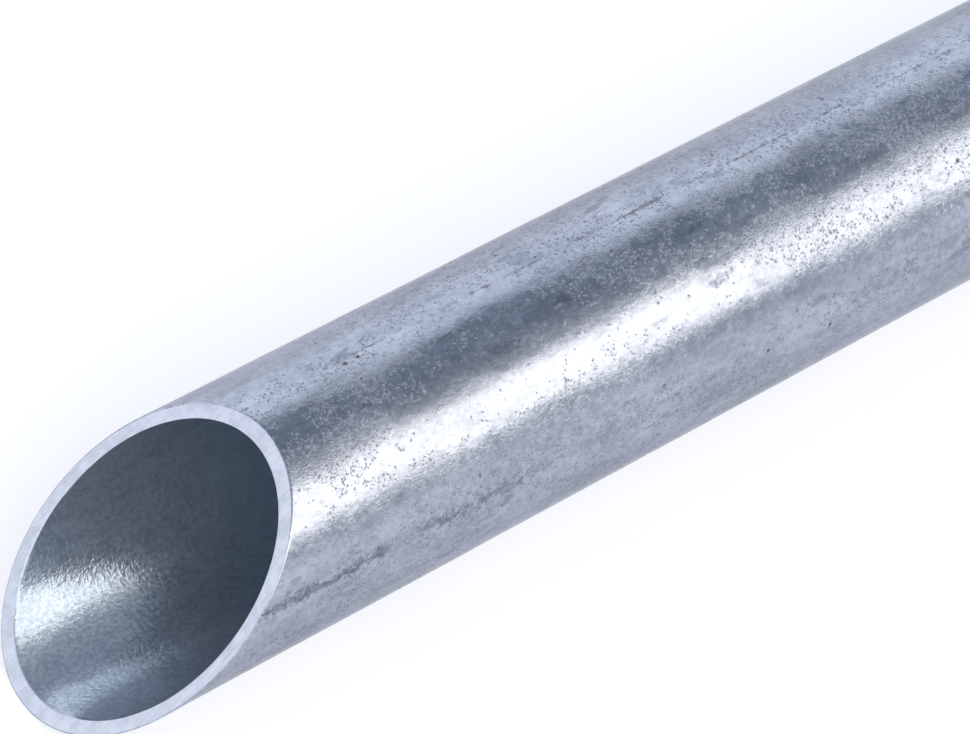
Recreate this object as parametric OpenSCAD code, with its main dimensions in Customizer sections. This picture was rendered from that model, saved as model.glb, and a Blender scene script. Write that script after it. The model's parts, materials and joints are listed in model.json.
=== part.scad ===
// Galvanised round steel tube, mitred at one end.
//
// A thin-walled round tube of plain carbon steel with a zinc coat from a hot
// dip. One end is sawn to a mitre, to meet a second tube at a corner, and the
// other is sawn square. The tube lies along X on the floor. The mitre is at
// -X with its long point at the bottom, and the square end is at +X. The
// origin is at the bottom, half-way along.

/* [Tube] */
// Outside diameter
outer_d = 60.3; // [20:0.1:120]
// Wall thickness
wall = 2.9; // [1:0.1:6]
// Length along the bottom, from the mitre's point to the square end
length = 1000; // [300:10:6000]

/* [Mitre] */
// Angle of the mitre, measured from a square cut
mitre_angle = 45; // [0:1:60]

/* [Hidden] */
outer_r = outer_d / 2;
bore_d = outer_d - 2 * wall;
// Length the mitre takes off the top of the tube
mitre_run = outer_d * tan(mitre_angle);
// A cutter goes this far past the wall that it cuts
overcut = 10;
facets = 180;

// Solid rod along X, from x_start on, with its axis at the tube's axis.
module rod_along_x(d, x_start, x_length) {
    translate([x_start, 0, outer_r])
        rotate([0, 90, 0])
            cylinder(d = d, h = x_length, $fn = facets);
}

// Everything on the scrap side of the mitre's sawing plane. The plane passes
// through the bottom of the tube at its end and leans back over the tube.
module mitre_scrap() {
    depth = mitre_run + 2 * overcut;
    reach = outer_d / cos(mitre_angle) + 2 * overcut;
    breadth = outer_d + 2 * overcut;
    translate([-length / 2, 0, 0])
        rotate([0, mitre_angle, 0])
            translate([-depth, -breadth / 2, -overcut])
                cube([depth, breadth, reach]);
}

// The one piece: outer wall, bore, mitred end and square end.
module tube() {
    color("#A9B1C2")
        difference() {
            rod_along_x(outer_d, -length / 2, length);
            rod_along_x(bore_d, -length / 2 - overcut, length + 2 * overcut);
            mitre_scrap();
        }
}

tube();
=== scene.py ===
# %% [markdown]
# # A mitred galvanised steel tube
#
# The object is one length of thin-walled round steel tube. It was rolled and welded from
# strip, dipped in molten zinc, and then sawn: square at one end, and to a mitre at the
# other, where it would meet a second tube at a corner.
#
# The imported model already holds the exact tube. This script gives it a surface: a skin
# worked out with numpy, three finishes, and a floor, light and camera to see it by.

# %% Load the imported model
import json
import math

import bpy
import numpy as np
from mathutils import Matrix, Vector


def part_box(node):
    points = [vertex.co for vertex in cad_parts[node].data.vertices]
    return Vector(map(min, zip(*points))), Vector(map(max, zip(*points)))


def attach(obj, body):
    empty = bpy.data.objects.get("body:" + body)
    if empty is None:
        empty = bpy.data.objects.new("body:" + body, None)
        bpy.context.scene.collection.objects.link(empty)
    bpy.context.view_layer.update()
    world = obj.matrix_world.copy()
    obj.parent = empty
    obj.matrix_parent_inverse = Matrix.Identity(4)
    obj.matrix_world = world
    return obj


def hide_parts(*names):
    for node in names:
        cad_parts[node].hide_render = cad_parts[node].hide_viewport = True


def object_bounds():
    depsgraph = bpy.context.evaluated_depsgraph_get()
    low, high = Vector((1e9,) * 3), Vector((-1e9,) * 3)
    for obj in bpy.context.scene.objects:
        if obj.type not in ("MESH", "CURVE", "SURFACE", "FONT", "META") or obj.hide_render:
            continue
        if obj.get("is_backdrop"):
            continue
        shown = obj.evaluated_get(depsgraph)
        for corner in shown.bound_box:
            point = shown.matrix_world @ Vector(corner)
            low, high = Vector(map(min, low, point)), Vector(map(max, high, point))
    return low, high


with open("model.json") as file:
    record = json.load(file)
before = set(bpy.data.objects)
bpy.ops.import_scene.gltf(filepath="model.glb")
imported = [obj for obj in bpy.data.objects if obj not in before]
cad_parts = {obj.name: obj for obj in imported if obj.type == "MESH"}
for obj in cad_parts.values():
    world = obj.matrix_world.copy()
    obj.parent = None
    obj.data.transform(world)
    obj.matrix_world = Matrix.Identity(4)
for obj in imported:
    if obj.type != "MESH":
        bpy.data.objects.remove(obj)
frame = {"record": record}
cad_low, cad_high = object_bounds()

# %% [markdown]
# ## The tube's own sizes
#
# Nothing is measured twice. The outside diameter and the length come from the packed
# node's box, the bore's radius from the mount that describes the bore, and the angle of
# the saw cut from the direction that the mitred face looks in.

# %% Read the sizes
MM = 0.001
tube_low, tube_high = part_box("tube")
mounts = {mount["name"]: mount for mount in frame["record"]["mounts"]}
outer_r = mounts["outside"]["dims"]["r_mm"] * MM
bore_r = mounts["bore"]["dims"]["r_mm"] * MM
axis_z = mounts["bore"]["pos_m"][2]
square_x = tube_high[0]
point_x = tube_low[0]
face_axis = mounts["mitre_face"]["axis"]
mitre_slope = face_axis[2] / -face_axis[0]
print(f"outside {2 * outer_r / MM:.1f} mm, bore {2 * bore_r / MM:.1f} mm, "
      f"mitre {math.degrees(math.atan(mitre_slope)):.1f} degrees, "
      f"length {(square_x - point_x) / MM:.0f} mm")

# %% [markdown]
# ## The skin as one closed grid
#
# A tube has no inside and outside sheets that end somewhere: the outer wall turns the
# corner into the sawn face, the face into the bore, the bore into the other face, and
# that one back into the outer wall. So the whole skin is a single grid that closes on
# itself both ways. One way goes round the tube. The other is a list of stations along
# that closed profile.
#
# A cylinder with a Boolean cut would give the same outline. The grid is chosen because
# its rings lean over with the saw cut, so the cut has clean edges, and because every
# corner gets a small rounded arris as a deburred tube has.

# %% Stations along the profile
ARRIS = 0.28 * MM


def arris(radius_from, shift_from, radius_to, shift_to, corner, steps=4):
    """Rounded corner as stations (radius, shift along the axis).

    A quadratic Bezier curve: (1-t)^2 * start + 2t(1-t) * corner + t^2 * end.
    """
    t = np.linspace(0, 1, steps)[:, None]
    start = np.array([radius_from, shift_from])
    end = np.array([radius_to, shift_to])
    return (1 - t) ** 2 * start + 2 * t * (1 - t) * np.array(corner) + t ** 2 * end


def stations(radius, share, shift, part):
    """Station rows: radius, share of the way from the mitre to the square end, shift, part."""
    radius, share, shift = np.broadcast_arrays(
        *(np.atleast_1d(np.asarray(value, float)) for value in (radius, share, shift)))
    return np.stack([radius, share, shift, np.full(radius.shape, float(part))], axis=1)


OUTSIDE, BORE, CUT = 0, 1, 2
OUTER_STEPS, BORE_STEPS, FACE_STEPS = 330, 80, 7
AROUND = 224

# An exponent above 1 crowds the rings towards the mitre, where most of the detail is.
OUTER_CROWD, BORE_CROWD = 1.35, 1.6
outer_share = np.linspace(0, 1, OUTER_STEPS) ** OUTER_CROWD
bore_share = (np.linspace(0, 1, BORE_STEPS) ** BORE_CROWD)[::-1]
face_radius = np.linspace(bore_r + ARRIS, outer_r - ARRIS, FACE_STEPS)[1:-1]


def end_turn(share, inward):
    """Stations from the outer wall over one sawn face into the bore."""
    outer_arris = arris(outer_r, inward * ARRIS, outer_r - ARRIS, 0, (outer_r, 0))
    bore_arris = arris(bore_r + ARRIS, 0, bore_r, inward * ARRIS, (bore_r, 0))
    return np.concatenate([
        stations(outer_arris[1:, 0], share, outer_arris[1:, 1], OUTSIDE),
        stations(face_radius[::-1], share, 0, CUT),
        stations(bore_arris[:-1, 0], share, bore_arris[:-1, 1], CUT)])


outer_wall = stations(outer_r, outer_share, ARRIS * (1 - 2 * outer_share), OUTSIDE)
bore_wall = stations(bore_r, bore_share, ARRIS * (1 - 2 * bore_share), BORE)
square_turn = end_turn(1, -1)
mitre_turn = end_turn(0, 1)[::-1]
profile = np.concatenate([outer_wall, square_turn, bore_wall, mitre_turn])
print("stations along the profile:", len(profile))

# %% [markdown]
# ## The zinc's own relief
#
# Molten zinc runs off a tube as it leaves the bath, and freezes in long low swells a few
# hundredths of a millimetre high. They are far too low to see as a shape, but they bend
# the reflections, and that is what makes the eye read zinc and not polished steel.
#
# The swells could be a displacement in the material. They are put in the mesh so that
# they stay with it wherever it goes. Each is a cosine with a whole number of turns round
# the tube, so the pattern has no seam.

# %% Low swells that close round the tube
rng = np.random.default_rng(60)


def swells(angle, along, height, count, turns, wave_mm):
    """Sum of cosines: height * sum(a_k * cos(m_k * angle + 2 pi * along / w_k + p_k))."""
    turn = rng.integers(turns[0], turns[1] + 1, count)
    wave = rng.uniform(*wave_mm, count) * MM * rng.choice([-1, 1], count)
    phase = rng.uniform(0, 2 * np.pi, count)
    share = rng.normal(0, 1, count) / math.sqrt(count / 2)
    total = np.zeros(np.broadcast(angle, along).shape)
    for m, w, p, a in zip(turn, wave, phase, share):
        total += a * np.cos(m * angle + 2 * np.pi * along / w + p)
    return height * total


angle = np.linspace(0, 2 * np.pi, AROUND, endpoint=False)[None, :]
radius, share, shift, part = (profile[:, k, None] for k in range(4))
mitre_x = point_x + mitre_slope * (axis_z + radius * np.cos(angle))
x = (1 - share) * mitre_x + share * square_x + shift

outer_relief = (swells(angle, x, 0.013 * MM, 40, (2, 9), (30, 120))
                + swells(angle, x, 0.008 * MM, 60, (6, 24), (9, 30)))
bore_relief = (swells(angle, x, 0.035 * MM, 40, (2, 9), (12, 60))
               + swells(angle, x, 0.012 * MM, 40, (6, 20), (8, 20)))
relief = np.where(part == OUTSIDE, outer_relief, 0) + np.where(part == BORE, bore_relief, 0)
ring = radius + relief
points = np.stack([x, -ring * np.sin(angle), axis_z + ring * np.cos(angle)], axis=2)
print(f"relief of the outer wall {np.abs(outer_relief).max() / MM:.3f} mm at most")

# %% [markdown]
# ## From the grid to a mesh
#
# Each cell of the grid becomes one face with four corners. np.roll gives every cell its
# neighbour in both ways, and the last row and column get the first ones back, so the
# tube closes with no seam to weld. The same rows say which finish a face takes. Only the
# sawn faces are truly flat, so all the others are shaded smooth.

# %% Join the grid into a closed mesh
rows, columns = points.shape[:2]
here = np.arange(rows)[:, None] * columns + np.arange(columns)[None, :]
down = np.roll(here, -1, axis=0)
quads = np.stack([here, np.roll(here, -1, axis=1), np.roll(down, -1, axis=1), down], axis=2)
quads = quads.reshape(-1, 4)

mesh = bpy.data.meshes.new("tube_skin")
mesh.from_pydata(points.reshape(-1, 3).tolist(), [], quads.tolist())
mesh.validate()

# Volume from the divergence theorem; it is negative if the faces point inwards.
corner = points.reshape(-1, 3)[quads]
volume = sum(float((corner[:, 0] * np.cross(corner[:, a], corner[:, b])).sum())
             for a, b in ((1, 2), (2, 3))) / 6
if volume < 0:
    mesh.flip_normals()
print(f"{len(quads)} quads, {abs(volume) * 1e9:.0f} mm3 of steel")

# Which finish each face takes, and which faces are truly flat.
station_part = profile[:, 3].astype(int)
row_part = np.maximum(station_part, np.roll(station_part, -1))
row_part[(station_part == BORE) | (np.roll(station_part, -1) == BORE)] = BORE
face_part = np.repeat(row_part, columns)
mesh.polygons.foreach_set("material_index", face_part.astype(np.int32))
mesh.polygons.foreach_set("use_smooth", face_part != CUT)
mesh.update()

tube = bpy.data.objects.new("tube_skin", mesh)
bpy.context.scene.collection.objects.link(tube)
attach(tube, "root")
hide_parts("tube")

# %% [markdown]
# ## Helpers for the finishes
#
# A finish on a real surface is many small things at once, so each material here is a
# tree of nodes. Nodes could be joined by hand in the editor. Code is chosen so that
# every size and colour can be read in one place. Colours are sRGB hex, as a colour
# picker shows them, and one function turns them to the linear numbers that the renderer
# wants. One function adds any node: its settings by name, and for each input either a
# value or the node that feeds it. Patterns are laid out in millimetres, so that each
# size below can be held against a real tube.


# %% Colour and node helpers
def linear(hex_colour, alpha=1.0):
    """sRGB hex to linear: c / 12.92 below 0.04045, else ((c + 0.055) / 1.055) ^ 2.4."""
    channels = [int(hex_colour[k:k + 2], 16) / 255 for k in (1, 3, 5)]
    return [c / 12.92 if c <= 0.04045 else ((c + 0.055) / 1.055) ** 2.4
            for c in channels] + [alpha]


def add(tree, kind, inputs=None, **settings):
    """Adds one node. An input takes a value, a node's first output, or a given output."""
    node = tree.nodes.new("ShaderNode" + kind)
    for name, value in settings.items():
        setattr(node, name, value)
    for name, value in (inputs or {}).items():
        if isinstance(value, bpy.types.Node):
            value = value.outputs[0]
        if isinstance(value, bpy.types.NodeSocket):
            tree.links.new(value, node.inputs[name])
        else:
            node.inputs[name].default_value = value
    return node


SMOOTH = {"interpolation_type": "SMOOTHSTEP"}     # Map Range: an S-curve with soft ends


def new_material(name):
    """An empty material and its node tree."""
    material = bpy.data.materials.new(name)
    material.use_nodes = True
    material.node_tree.nodes.clear()
    return material, material.node_tree


def in_millimetres(tree):
    """Where a point is on the object, as a vector in millimetres."""
    place = add(tree, "TexCoord")
    return add(tree, "VectorMath", {0: place.outputs["Object"], "Scale": 1 / MM},
               operation="SCALE")


print("middle grey of the zinc, linear:", [round(c, 3) for c in linear("#9EA4B1")[:3]])

# %% [markdown]
# ## Dull hot-dip zinc, outside
#
# The common name is hot-dip galvanising. Steel goes into molten zinc at about 450
# degrees, comes out bright, and dulls to blue-grey within months. The eye gets four
# things from it: a blue-grey metal that is only half glossy, cloudy patches a finger
# wide where the coat froze at different speeds, clusters of fine pits and dross grains
# under a millimetre across, and marks along the tube left by the rolls and the weld.
#
# A picture of zinc could be wrapped round the tube. Noise in millimetres is chosen
# instead, because it has no seam and no repeat, and the sizes stay true on any length.
# The first cell works out where a point is, because the marks need its place round the
# tube, as millimetres of arc from the top.

# %% Zinc: where a point is, along and round the tube
zinc, tree = new_material("hot_dip_zinc")
mm = in_millimetres(tree)
AXIS_MM, OUTER_MM = axis_z / MM, outer_r / MM
split = add(tree, "SeparateXYZ", {0: mm})
above_axis = add(tree, "Math", {0: split.outputs["Z"], 1: AXIS_MM}, operation="SUBTRACT")
towards_front = add(tree, "Math", {0: split.outputs["Y"], 1: -1.0}, operation="MULTIPLY")
lean = add(tree, "Math", {0: towards_front, 1: above_axis}, operation="ARCTAN2")
arc = add(tree, "Math", {0: lean, 1: OUTER_MM}, operation="MULTIPLY")
from_point = add(tree, "Math", {0: split.outputs["X"], 1: point_x / MM}, operation="SUBTRACT")
print(f"one turn round the tube is {2 * math.pi * OUTER_MM:.0f} mm of arc")

# %% [markdown]
# ## Zinc: the patterns
#
# A zinc coat is uneven at every size from a finger's width down to one crystal. One
# noise with many octaves could cover that whole range, but then the sizes could not be
# set apart. So there are seven, each with its own size, and pairs of them say where the
# coat is pitted or frosted. Zinc runs along the tube as it drains, so the larger ones
# are drawn out that way.

# %% Zinc: seven noises, from patches down to single crystals
drawn = add(tree, "Mapping", {"Vector": mm, "Scale": (0.45, 1, 1)})
ZINC_NOISE = {                        # coordinates, size in mm, detail, roughness
    "patch": (drawn, 22.0, 2.0, 0.5),     # pitted areas
    "cloud": (drawn, 9.0, 5.0, 0.65),     # light and dark areas
    "smear": (drawn, 5.0, 3.0, 0.6),      # scuffs
    "cluster": (mm, 4.5, 2.0, 0.6),       # groups of pits
    "mottle": (mm, 1.8, 5.0, 0.75),       # unevenness of the coat
    "fleck": (mm, 1.1, 4.0, 0.75),        # frosted crystals
    "grain": (mm, 0.5, 3.0, 0.7)}         # crystals of 0.1 mm, drawn coarser to show
noise = {name: add(tree, "TexNoise", {"Vector": place, "Scale": 1 / size_mm,
                                      "Detail": detail, "Roughness": roughness})
         for name, (place, size_mm, detail, roughness) in ZINC_NOISE.items()}

where_pitted = add(tree, "Math", {0: noise["cluster"], 1: 0.8, 2: noise["patch"]},
                   operation="MULTIPLY_ADD")
pitted = add(tree, "MapRange", {"Value": where_pitted, "From Min": 0.87, "From Max": 0.95},
             **SMOOTH)
cloudy = add(tree, "Math", {0: noise["cloud"], 1: 0.6}, operation="MULTIPLY")
where_frosted = add(tree, "Math", {0: noise["fleck"], 1: 0.9, 2: cloudy},
                    operation="MULTIPLY_ADD")
frost = add(tree, "MapRange", {"Value": where_frosted, "From Min": 0.75, "From Max": 0.87},
            **SMOOTH)
scuffs = add(tree, "MapRange", {"Value": noise["smear"], "From Min": 0.61, "From Max": 0.68},
             **SMOOTH)
print("noise sizes in mm:", {name: row[1] for name, row in ZINC_NOISE.items()})

# %% [markdown]
# ## Zinc: pits and dross grains
#
# Pits are pinholes where flux or a gas bubble kept the zinc off. Dross grains are hard
# crumbs of iron and zinc that stand up from the coat. Both are dots of many sizes in
# loose groups. Particles could be scattered over the mesh, but there are thousands, and
# most are finer than a face. So they are dots in the cells of a Voronoi pattern: a cell
# keeps its dot if its random number is low enough, and the chance is high in a group.


# %% Zinc: dots in random cells
SMALLEST, LARGEST = 0.5, 1.3


def dots(tree, place, spacing_mm, chance_low, chance_high, where, core, rim):
    """Dots of mixed sizes at random cells: 1 within core, 0 past rim, as shares of a cell.

    A cell has a dot where its random number is below a chance that rises with where. A
    second random number sets the dot's size, from SMALLEST to LARGEST times the usual.
    """
    cells = add(tree, "TexVoronoi", {"Vector": place, "Scale": 1 / spacing_mm})
    random = add(tree, "SeparateColor", {0: cells.outputs["Color"]})
    chance = add(tree, "MapRange", {"Value": where, "To Min": chance_low,
                                    "To Max": chance_high}, **SMOOTH)
    present = add(tree, "Math", {0: random.outputs[0], 1: chance}, operation="LESS_THAN")
    size = add(tree, "MapRange", {"Value": random.outputs[1], "To Min": SMALLEST,
                                  "To Max": LARGEST}, **SMOOTH)
    spread = add(tree, "Math", {0: cells.outputs["Distance"], 1: size}, operation="DIVIDE")
    dot = add(tree, "MapRange", {"Value": spread, "From Min": core, "From Max": rim,
                                 "To Min": 1.0, "To Max": 0.0}, **SMOOTH)
    return add(tree, "Math", {0: dot, 1: present}, operation="MULTIPLY")


# The crystals push each point aside by a few tenths of a millimetre, so no dot is round.
RAGGED_MM = 1.5
ragged = add(tree, "VectorMath", {0: noise["grain"].outputs["Color"], 1: (RAGGED_MM,) * 3,
                                  2: mm}, operation="MULTIPLY_ADD")
fine_pits = dots(tree, ragged, spacing_mm=0.7, chance_low=0.03, chance_high=0.75,
                 where=pitted, core=0.08, rim=0.50)
large_pits = dots(tree, ragged, spacing_mm=3.0, chance_low=0.012, chance_high=0.20,
                  where=pitted, core=0.06, rim=0.21)
dross = dots(tree, ragged, spacing_mm=1.6, chance_low=0.10, chance_high=0.35,
             where=frost, core=0.05, rim=0.34)
all_pits = add(tree, "Math", {0: fine_pits, 1: large_pits}, operation="MAXIMUM")
print("pits and grains:", sum(node.type == "TEX_VORONOI" for node in tree.nodes), "kinds")

# %% [markdown]
# ## Zinc: marks along the tube
#
# The forming rolls scratch a thin broken line, and the seam weld leaves a wider one that
# the zinc doesn't quite hide. Each could be a groove in the mesh. They are far shallower
# than the wall, so they are patterns that stay at one angle round the tube, wander a
# little, and come and go along it.


# %% Zinc: a broken line at one angle
WANDER_EVERY_MM = 25


def mark_along(tree, lean_deg, half_width_mm, wander_mm, seed, dash_mm, start, full):
    """A broken line along the tube, lean_deg from the top towards the front.

    It is 1 where the arc distance from its wandering middle is small, times a dash
    pattern, which is noise along the tube: 0 below start and 1 above full. The mottle
    makes its width uneven, and the seed gives each line noise of its own.
    """
    here = add(tree, "CombineXYZ", {"X": split.outputs["X"], "Y": seed})
    wander = add(tree, "TexNoise", {"Vector": here, "Scale": 1 / WANDER_EVERY_MM,
                                    "Detail": 2.0})
    middle = add(tree, "Math", {0: wander, 1: 2 * wander_mm,
                                2: math.radians(lean_deg) * OUTER_MM - wander_mm},
                 operation="MULTIPLY_ADD")
    off = add(tree, "Math", {0: arc, 1: middle}, operation="SUBTRACT")
    distance = add(tree, "Math", {0: off}, operation="ABSOLUTE")
    uneven = add(tree, "Math", {0: noise["mottle"], 1: 6 * half_width_mm, 2: distance},
                 operation="MULTIPLY_ADD")
    line = add(tree, "MapRange", {"Value": uneven, "From Min": 3 * half_width_mm,
                                  "From Max": 4 * half_width_mm,
                                  "To Min": 1.0, "To Max": 0.0}, **SMOOTH)
    dashes = add(tree, "TexNoise", {"Vector": here, "Scale": 1 / dash_mm, "Detail": 3.0})
    shown = add(tree, "MapRange", {"Value": dashes, "From Min": start, "From Max": full},
                **SMOOTH)
    speckle = add(tree, "MapRange", {"Value": noise["fleck"], "From Min": 0.38,
                                     "From Max": 0.62, "To Min": 0.4}, **SMOOTH)
    speckled = add(tree, "Math", {0: shown, 1: speckle}, operation="MULTIPLY")
    return add(tree, "Math", {0: line, 1: speckled}, operation="MULTIPLY")


ROLL_DEG, WELD_DEG = -17.5, 69.0
roll_mark = mark_along(tree, ROLL_DEG, half_width_mm=0.5, wander_mm=0.4, seed=3.0,
                       dash_mm=9.0, start=0.42, full=0.60)
weld_line = mark_along(tree, WELD_DEG, half_width_mm=1.8, wander_mm=0.8, seed=11.0,
                       dash_mm=16.0, start=0.34, full=0.50)
# The weld's line is dark near the mitre and fades farther along.
fading = add(tree, "MapRange", {"Value": from_point, "From Min": 92, "From Max": 125,
                                "To Min": 1.0, "To Max": 0.2}, **SMOOTH)
weld_mark = add(tree, "Math", {0: weld_line, 1: fading}, operation="MULTIPLY")
marks = add(tree, "Math", {0: roll_mark, 1: weld_mark}, operation="MAXIMUM")
print(f"roll mark {ROLL_DEG} degrees from the top, weld mark {WELD_DEG}")

# %% [markdown]
# ## Zinc: colour
#
# Weathered zinc is a blue-grey that wanders between two close shades. On it lie whiter
# crystals, dark worn lines, grey smears, and pits, which are darker from dull zinc and dirt
# in them and from painted shade in the hollows. A colour could be painted for each, and
# here each is a layer: a colour, and a pattern that says how much of it covers what lies
# below.

# %% Zinc: shades and layers
part_cloud = add(tree, "Math", {0: noise["cloud"], 1: 0.8}, operation="MULTIPLY")
where_light = add(tree, "Math", {0: noise["mottle"], 1: part_cloud}, operation="ADD")
tone = add(tree, "MapRange", {"Value": where_light, "From Min": 0.65, "From Max": 1.15},
           **SMOOTH)
coat = add(tree, "Mix", {0: tone, 6: linear("#9096A3"), 7: linear("#ACB2BF")},
           data_type="RGBA")
LAYERS = ((frost, 0.3, "#C0C5CE"),        # frosted crystals are whiter
          (marks, 0.9, "#5C626B"),        # worn and dirty lines
          (scuffs, 0.4, "#5F6877"),       # thin grey smears
          (fine_pits, 1.0, "#76797D"),    # pits are darker: a little dull zinc, and painted shade in the hollow
          (large_pits, 1.0, "#5E5C58"))   # and the large ones darker: some dirt, and painted shade in the hollow
for cover, strength, colour in LAYERS:
    share = add(tree, "Math", {0: cover, 1: strength}, operation="MULTIPLY")
    coat = add(tree, "Mix", {0: share, 6: coat.outputs[2], 7: linear(colour)},
               data_type="RGBA")
print(len(LAYERS), "layers over the bare coat")

# %% [markdown]
# ## Zinc: gloss and relief
#
# Bare zinc is fairly smooth, frosted crystals are duller, and a pit is rough inside, so a
# pit looks dark in a highlight and light in a dark reflection. The finest relief could be
# displaced in the mesh, but it is finer than a face. So it is bump, with each height in
# millimetres and a bump distance of one millimetre.

# %% Zinc: roughness, bump and the shader
BARE_ROUGH, FROST_ROUGHER, PITS_ROUGHER = 0.14, 0.12, 0.35
frosted = add(tree, "Math", {0: frost, 1: FROST_ROUGHER, 2: BARE_ROUGH},
              operation="MULTIPLY_ADD")
rough = add(tree, "Math", {0: all_pits, 1: PITS_ROUGHER, 2: frosted},
            operation="MULTIPLY_ADD")

grain_mm = add(tree, "MapRange", {"Value": pitted, "To Min": 0.022, "To Max": 0.06},
               **SMOOTH)
RELIEF = ((noise["grain"], grain_mm), (noise["mottle"], 0.05), (all_pits, -0.04),
          (dross, 0.03), (marks, -0.05))
height = 0.0
for pattern, high_mm in RELIEF:
    height = add(tree, "Math", {0: pattern, 1: high_mm, 2: height}, operation="MULTIPLY_ADD")
bump = add(tree, "Bump", {"Height": height, "Strength": 1.0, "Distance": MM})
skin = add(tree, "BsdfPrincipled", {
    "Base Color": coat.outputs[2], "Metallic": 1.0, "Roughness": rough, "Normal": bump,
    "Specular Tint": linear("#D8DADF")})
add(tree, "OutputMaterial", {"Surface": skin})
print("zinc outside:", len(tree.nodes), "nodes")

# %% [markdown]
# ## Zinc in the bore
#
# Inside, the zinc drains slowly and freezes thick and pebbly, and the bore is set not
# quite all metal. Its colour is painted paler and bluer deeper in: painted light in the
# depth of the bore, away from the open ends. It still looks slate-blue, because light
# comes out of a tube after several bounces that each take some red away.
#
# The outside's material could serve here too. The bore has one of its own, because its
# relief is coarser, it has no pits, and its colour carries painted light along the way in.

# %% Zinc in the bore: shades, and painted light deeper in
bore, tree = new_material("pebbly_zinc_bore")
mm = in_millimetres(tree)
BORE_NOISE = {                        # size in mm, detail, roughness
    "lump": (5.0, 5.0, 0.7),
    "speckle": (1.0, 3.0, 0.75),
    "pebble": (1.0, 1.0, 0.5),
    "sand": (0.45, 1.0, 0.5)}
noise = {name: add(tree, "TexNoise", {"Vector": mm, "Scale": 1 / size_mm, "Detail": detail,
                                      "Roughness": roughness})
         for name, (size_mm, detail, roughness) in BORE_NOISE.items()}
lumpy = add(tree, "Math", {0: noise["lump"], 1: 0.3}, operation="MULTIPLY")
where_light = add(tree, "Math", {0: noise["speckle"], 1: 0.7, 2: lumpy},
                  operation="MULTIPLY_ADD")
tone = add(tree, "MapRange", {"Value": where_light, "From Min": 0.35, "From Max": 0.65},
           **SMOOTH)
coat = add(tree, "Mix", {0: tone, 6: linear("#8F9BAB"), 7: linear("#B0BBC8")},
           data_type="RGBA")

# The painted light starts 45 mm in from either end and is full from 110 mm in. The origin
# is half-way along the tube, so the distance from the middle is the size of X.
HALF_MM, START_MM, FULL_MM = square_x / MM, 45, 110
split = add(tree, "SeparateXYZ", {0: mm})
from_middle = add(tree, "Math", {0: split}, operation="ABSOLUTE")
deep_painted_light = add(tree, "MapRange", {"Value": from_middle, "From Min": HALF_MM - FULL_MM,
                                 "From Max": HALF_MM - START_MM,
                                 "To Min": 1.0, "To Max": 0.0}, **SMOOTH)
# Painted light: the bore's colour turns paler and bluer deeper in, away from the open ends.
coat = add(tree, "Mix", {0: deep_painted_light, 6: coat.outputs[2], 7: linear("#C6DCEC")},
           data_type="RGBA")
print(f"palest within {HALF_MM - FULL_MM:.0f} mm of the middle")

# %% Zinc in the bore: relief and the shader
height = 0.0
for pattern, high_mm in (("lump", 0.04), ("pebble", 0.06), ("sand", 0.035)):
    height = add(tree, "Math", {0: noise[pattern], 1: high_mm, 2: height},
                 operation="MULTIPLY_ADD")
bump = add(tree, "Bump", {"Height": height, "Strength": 1.0, "Distance": MM})
skin = add(tree, "BsdfPrincipled", {"Base Color": coat.outputs[2], "Metallic": 0.75,
                                    "Roughness": 0.18, "Normal": bump})
add(tree, "OutputMaterial", {"Surface": skin})
print("zinc in the bore:", len(tree.nodes), "nodes")

# %% [markdown]
# ## Sawn steel
#
# A cold saw cuts the tube after dipping, so both ends show bare steel, pale and half
# matt, with no zinc on it. The teeth leave fine parallel scratches. Each could be a
# groove, but thousands of grooves weigh more than they show. So the scratches are noise
# that is squeezed across them and drawn out along them, with soft blotches over it where
# the steel has dulled.

# %% Sawn steel
sawn, tree = new_material("sawn_steel")
mm = in_millimetres(tree)
SCRATCH_MM = 0.31                         # real ones are 0.1 mm apart, drawn coarser to show
LONG_MM = 8.3
squeeze = (1 / LONG_MM, 1 / SCRATCH_MM, 1 / LONG_MM)     # fine across Y, long in X and Z
squeezed = add(tree, "Mapping", {"Vector": mm, "Scale": squeeze})
scratch = add(tree, "TexNoise", {"Vector": squeezed, "Scale": 1.0, "Detail": 3.0})
blotch = add(tree, "TexNoise", {"Vector": mm, "Scale": 1 / 3.0, "Detail": 4.0,
                                "Roughness": 0.6})
scratched = add(tree, "Math", {0: scratch, 1: 0.4}, operation="MULTIPLY")
where_light = add(tree, "Math", {0: blotch, 1: 0.6, 2: scratched}, operation="MULTIPLY_ADD")
tone = add(tree, "MapRange", {"Value": where_light, "From Min": 0.35, "From Max": 0.65},
           **SMOOTH)
face = add(tree, "Mix", {0: tone, 6: linear("#B4B8C4"), 7: linear("#C9CDD8")},
           data_type="RGBA")
SCRATCH_DEPTH_MM = 0.016
bump = add(tree, "Bump", {"Height": scratch, "Strength": 1.0,
                          "Distance": SCRATCH_DEPTH_MM * MM})
skin = add(tree, "BsdfPrincipled", {"Base Color": face.outputs[2], "Metallic": 1.0,
                                    "Roughness": 0.38, "Normal": bump})
add(tree, "OutputMaterial", {"Surface": skin})

for finish in (zinc, bore, sawn):         # in the order of OUTSIDE, BORE and CUT
    mesh.materials.append(finish)
print("finishes on the tube:", [finish.name for finish in mesh.materials])

# %% [markdown]
# ## Floor
#
# The floor is a wide sheet of white paper on a light table. A plain white floor would
# turn grey beside the tube, and a curved backdrop would show in the zinc as a band. The
# glow from below keeps the shadow faint, so the outline of the tube stays clear.

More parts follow.
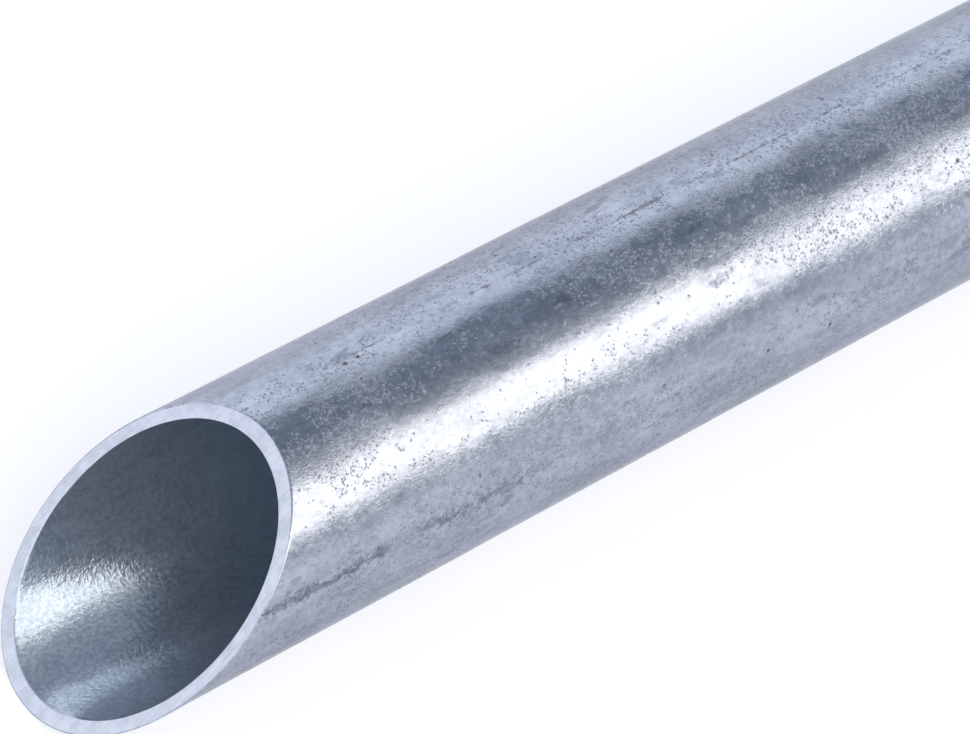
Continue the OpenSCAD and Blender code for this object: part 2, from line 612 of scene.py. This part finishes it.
# %% Floor
FLOOR_HALF = 40.0
floor_mesh = bpy.data.meshes.new("floor")
floor_mesh.from_pydata([(-FLOOR_HALF, -FLOOR_HALF, 0), (FLOOR_HALF, -FLOOR_HALF, 0),
                        (FLOOR_HALF, FLOOR_HALF, 0), (-FLOOR_HALF, FLOOR_HALF, 0)],
                       [], [(0, 1, 2, 3)])
floor = bpy.data.objects.new("floor", floor_mesh)
bpy.context.scene.collection.objects.link(floor)
floor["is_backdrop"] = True

paper, tree = new_material("white_paper_lit_from_below")
skin = add(tree, "BsdfPrincipled", {
    "Base Color": linear("#A0A4AA"), "Roughness": 0.9, "Specular IOR Level": 0.1,
    "Emission Color": linear("#FAF9FC"), "Emission Strength": 0.66})
add(tree, "OutputMaterial", {"Surface": skin})
floor_mesh.materials.append(paper)
print(f"floor {2 * FLOOR_HALF:.0f} m square")

# %% [markdown]
# ## Studio light
#
# A polished cylinder shows the whole room as long bands, so the light is a room that only
# changes with the angle at which a direction leans over towards the front. Nearly all of
# it is pale. A dark screen stands behind the top, and one long soft lamp hangs in front:
# they make the dark band and the bright band that run down the tube.
#
# Area lamps could do the same. A world does it with no falloff, so the bands keep their
# strength over the whole length. The ends of the room are pale too, for the sawn faces.
# These colours are linear, and a lamp's may pass 1.

# %% The room's light, by lean angle
PALE, DARK, DIP = (1.26, 1.31, 1.42), (0.34, 0.39, 0.47), (0.76, 0.79, 0.85)
STRIP = (2.84, 2.73, 2.53)
# Degrees from straight up, above 0 towards the front, and the colour in that direction.
LIGHT = [(-180, PALE), (-47, PALE), (-38, DARK), (-8, DARK), (7, (0.52, 0.54, 0.58)),
         (15, (0.90, 0.90, 0.92)), (23, (2.02, 1.94, 1.82)), (28, STRIP), (57, STRIP),
         (64, DIP), (76, DIP), (84, (1.0, 1.03, 1.1)), (94, PALE)]

world = bpy.data.worlds.new("studio")
bpy.context.scene.world = world
world.use_nodes = True
tree = world.node_tree
tree.nodes.clear()
way = add(tree, "TexCoord")
split = add(tree, "SeparateXYZ", {0: way.outputs["Generated"]})
side = add(tree, "Math", {0: split.outputs["Y"], 1: -1.0}, operation="MULTIPLY")
lean = add(tree, "Math", {0: side, 1: split.outputs["Z"]}, operation="ARCTAN2")
turn = add(tree, "MapRange", {"Value": lean, "From Min": -math.pi, "From Max": math.pi})
ramp = add(tree, "ValToRGB", {"Fac": turn})
stops = ramp.color_ramp.elements
for stop, (lean_deg, colour) in zip(stops, (LIGHT[0], LIGHT[-1])):
    stop.position, stop.color = (lean_deg + 180) / 360, (*colour, 1)
for lean_deg, colour in LIGHT[1:-1]:
    stop = stops.new((lean_deg + 180) / 360)
    stop.color = (*colour, 1)

end_on = add(tree, "Math", {0: split.outputs["X"]}, operation="ABSOLUTE")
# Directions within about 40 degrees of the tube's line see the pale end walls.
end_wall = add(tree, "MapRange", {"Value": end_on, "From Min": 0.62, "From Max": 0.76})
room = add(tree, "Mix", {0: end_wall, 6: ramp, 7: (*PALE, 1)}, data_type="RGBA")
glow = add(tree, "Background", {"Color": room.outputs[2], "Strength": 1.0})
add(tree, "OutputWorld", {"Surface": glow})
print(len(stops), "stops of light round the tube")

# %% [markdown]
# ## Camera
#
# The camera looks down into the mitred end from the front left. A long lens keeps the two
# edges of the tube nearly parallel, as a product picture does, and the camera is rolled a
# little so that the tube climbs to the right. A Track To constraint could aim it. A
# matrix worked out from the angles is chosen, because it can hold the roll as well.

# %% Camera
AZIMUTH, ELEVATION, ROLL = -46.43, 54.29, 13.04
DISTANCE, LENS_MM = 0.9404, 153.09
TARGET = Vector((-0.3744, 0.0045, 0.0324))
azimuth, elevation = math.radians(AZIMUTH), math.radians(ELEVATION)
back = Vector((math.sin(azimuth) * math.cos(elevation),
               -math.cos(azimuth) * math.cos(elevation), math.sin(elevation)))
camera_data = bpy.data.cameras.new("camera")
camera_data.sensor_width = 36             # millimetres, as the lens
camera_data.lens = LENS_MM
camera_data.clip_start = 0.01
camera = bpy.data.objects.new("camera", camera_data)
bpy.context.scene.collection.objects.link(camera)
upright = (-back).to_track_quat("-Z", "Y").to_matrix().to_4x4()
camera.matrix_world = (Matrix.Translation(TARGET + back * DISTANCE) @ upright
                       @ Matrix.Rotation(math.radians(ROLL), 4, "Z"))
bpy.context.scene.camera = camera
bpy.context.scene.view_settings.view_transform = "Standard"
print(f"camera {DISTANCE / MM:.0f} mm from its target, lens {LENS_MM:.0f} mm")

# %% [markdown]
# ## Measure and close
#
# A finish must not change the size of a thing. The box of the skin could be trusted to
# match, but it is measured once more here, and how far it reaches beyond the box of the
# imported model is printed.

# %% Measure the skin against the imported box and close
low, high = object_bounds()
grown = [max(a - b, d - c) / MM for a, b, c, d in zip(cad_low, low, cad_high, high)]
print("beyond the packed box by", [round(float(value), 3) for value in grown], "mm")
